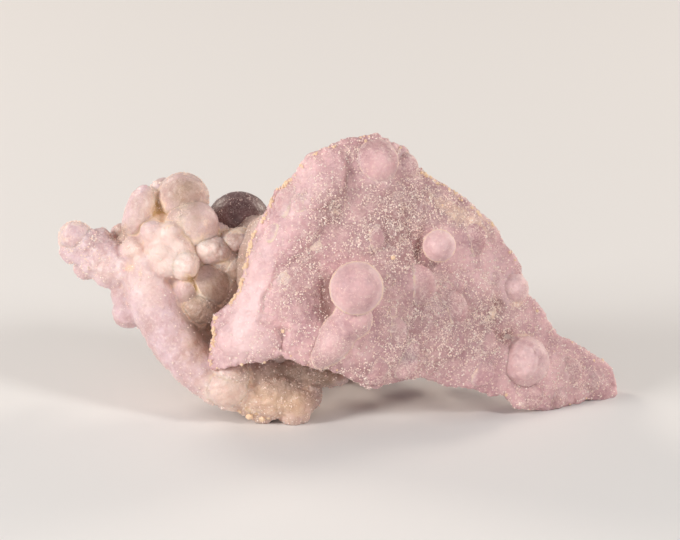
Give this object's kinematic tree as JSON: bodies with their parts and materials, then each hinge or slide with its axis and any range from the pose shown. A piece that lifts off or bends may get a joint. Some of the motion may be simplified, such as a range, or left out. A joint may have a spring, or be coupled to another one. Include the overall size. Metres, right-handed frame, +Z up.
{
  "type": "grape chalcedony specimen",
  "caption": "Loose mineral specimen: a leaning druzy chalcedony plate with balls on its face and a botryoidal bunch grown on behind, resting on its own lumps.",
  "frame": {"origin": "middle of the bounding box, on the surface the specimen rests on", "axes": "+X along the length, from the finger's tip to the plate's tail; +Y away from the plate's face; +Z up"},
  "size_m": [0.08, 0.0328, 0.0408],
  "materials": {
    "mauve_chalcedony": "waxy mauve-pink chalcedony of the plate, dusted with quartz points, with cream and ochre stains in its hollows",
    "pale_chalcedony": "waxy pinkish-white chalcedony of the bunch, the arm and the foot, ochre in the creases",
    "smoky_chalcedony": "glossy dark purple chalcedony of the ball behind the plate, lightly frosted",
    "quartz_druse": "tiny clear to milky quartz points that glitter",
    "cream_grains": "small cream grains grown on the surface"
  },
  "bodies": {
    "root": {"grape_chalcedony": "mauve_chalcedony"}
  },
  "joints": []
}
